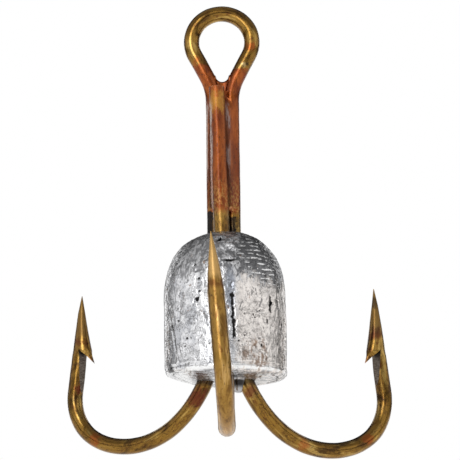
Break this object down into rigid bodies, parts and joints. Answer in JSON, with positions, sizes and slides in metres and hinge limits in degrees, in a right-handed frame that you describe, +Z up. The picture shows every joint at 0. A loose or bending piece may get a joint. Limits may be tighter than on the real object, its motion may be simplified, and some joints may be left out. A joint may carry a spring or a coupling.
{
  "type": "treble hook",
  "caption": "Large weighted treble fishing hook: line eye, brazed wire shank, lead weight cast round its foot, and barbed points spread evenly round it.",
  "frame": {"origin": "centre of the line eye", "axes": "+Z up along the shank, from the hooks' bends to the eye; the eye's loop lies in the XZ plane; -Y points to the front hook, +X to the right hook's side"},
  "size_m": [0.0551, 0.0485, 0.0758],
  "materials": {
    "bronzed_steel": "antique bronze over hardened steel wire, satin, worn and stained",
    "copper_braze": "copper braze, flowed and oxidised",
    "cast_lead": "cast lead, bright, pitted and scratched, with grey oxide"
  },
  "bodies": {
    "root": {"double_hook": "bronzed_steel", "single_hook": "bronzed_steel", "braze_left_seam": "copper_braze", "braze_right_seam": "copper_braze", "braze_rear_seam": "copper_braze", "lead_weight": "cast_lead"}
  },
  "joints": []
}
